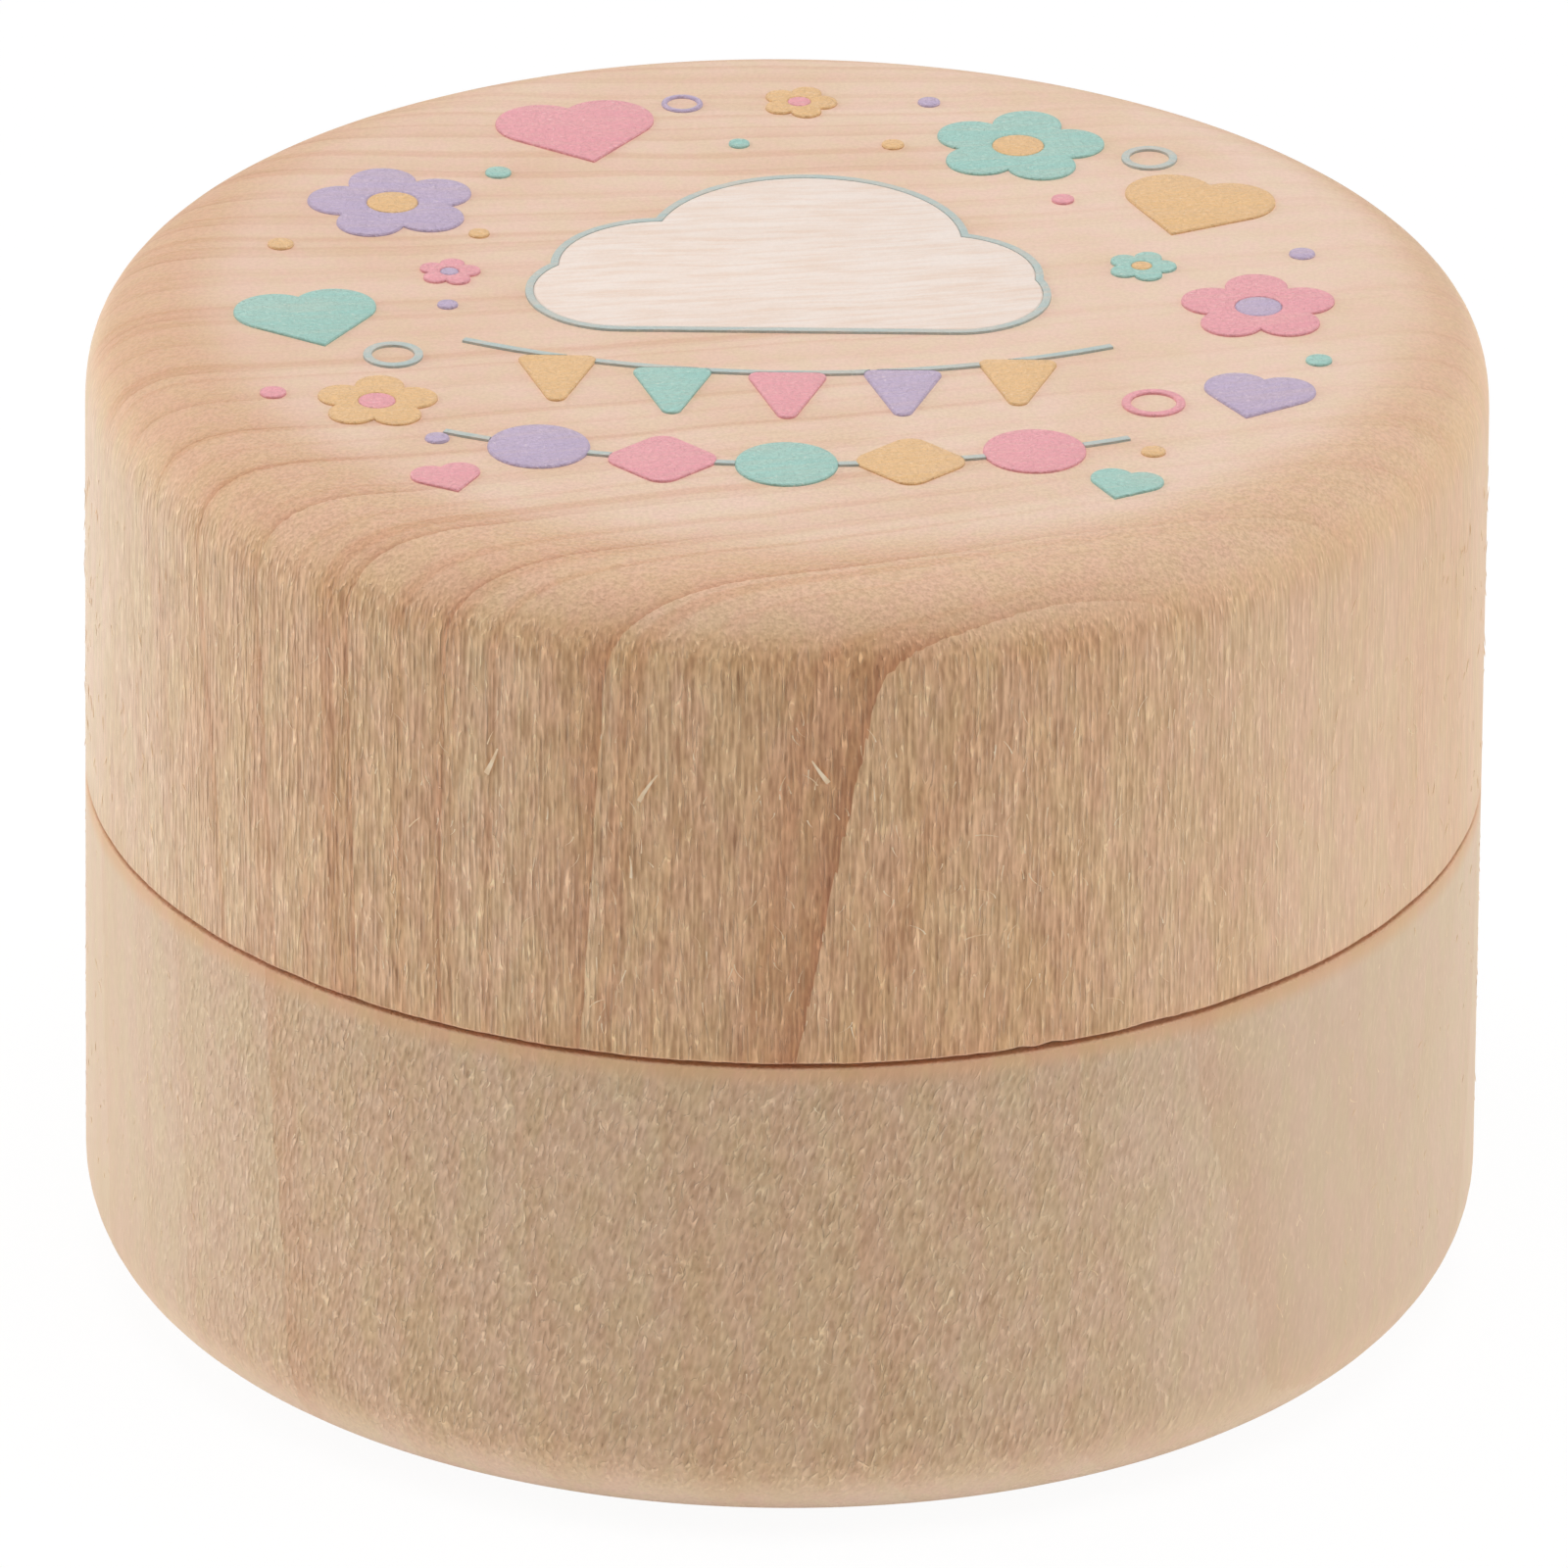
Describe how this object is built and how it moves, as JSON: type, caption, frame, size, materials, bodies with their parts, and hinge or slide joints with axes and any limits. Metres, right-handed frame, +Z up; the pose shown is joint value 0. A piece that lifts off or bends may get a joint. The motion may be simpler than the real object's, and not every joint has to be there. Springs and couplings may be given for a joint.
{
  "type": "baby tooth box",
  "caption": "Small round turned wooden keepsake box: a rounded base cup with a spigot, and a push-on lid with a pastel print of a cloud, hearts and blossoms.",
  "frame": {"origin": "centre of the base's flat underside, on the surface that the box stands on", "axes": "+Z up along the turning axis, -Y towards the front, where the print reads upright, +X to its right"},
  "size_m": [0.05, 0.05, 0.0366],
  "materials": {
    "base_wood": "bare, turned along the grain, finely furry",
    "lid_wood": "bare, turned along the grain, furry sides and smooth end-grain top",
    "ink_white": "matt printed ink, the wood's grain shows through",
    "ink_blue_grey": "matt printed ink",
    "ink_teal": "matt printed ink",
    "ink_pink": "matt printed ink",
    "ink_amber": "matt printed ink",
    "ink_lilac": "matt printed ink"
  },
  "bodies": {
    "base": {"base": "base_wood"},
    "lid": {"lid": "lid_wood", "print_white": "ink_white", "print_blue_grey": "ink_blue_grey", "print_teal": "ink_teal", "print_pink": "ink_pink", "print_amber": "ink_amber", "print_lilac": "ink_lilac"}
  },
  "joints": [
    {"name": "lid_lift", "type": "slide", "parent": "base", "child": "lid", "axis": [0, 0, 1], "range_m": [0, 0.04]}
  ]
}
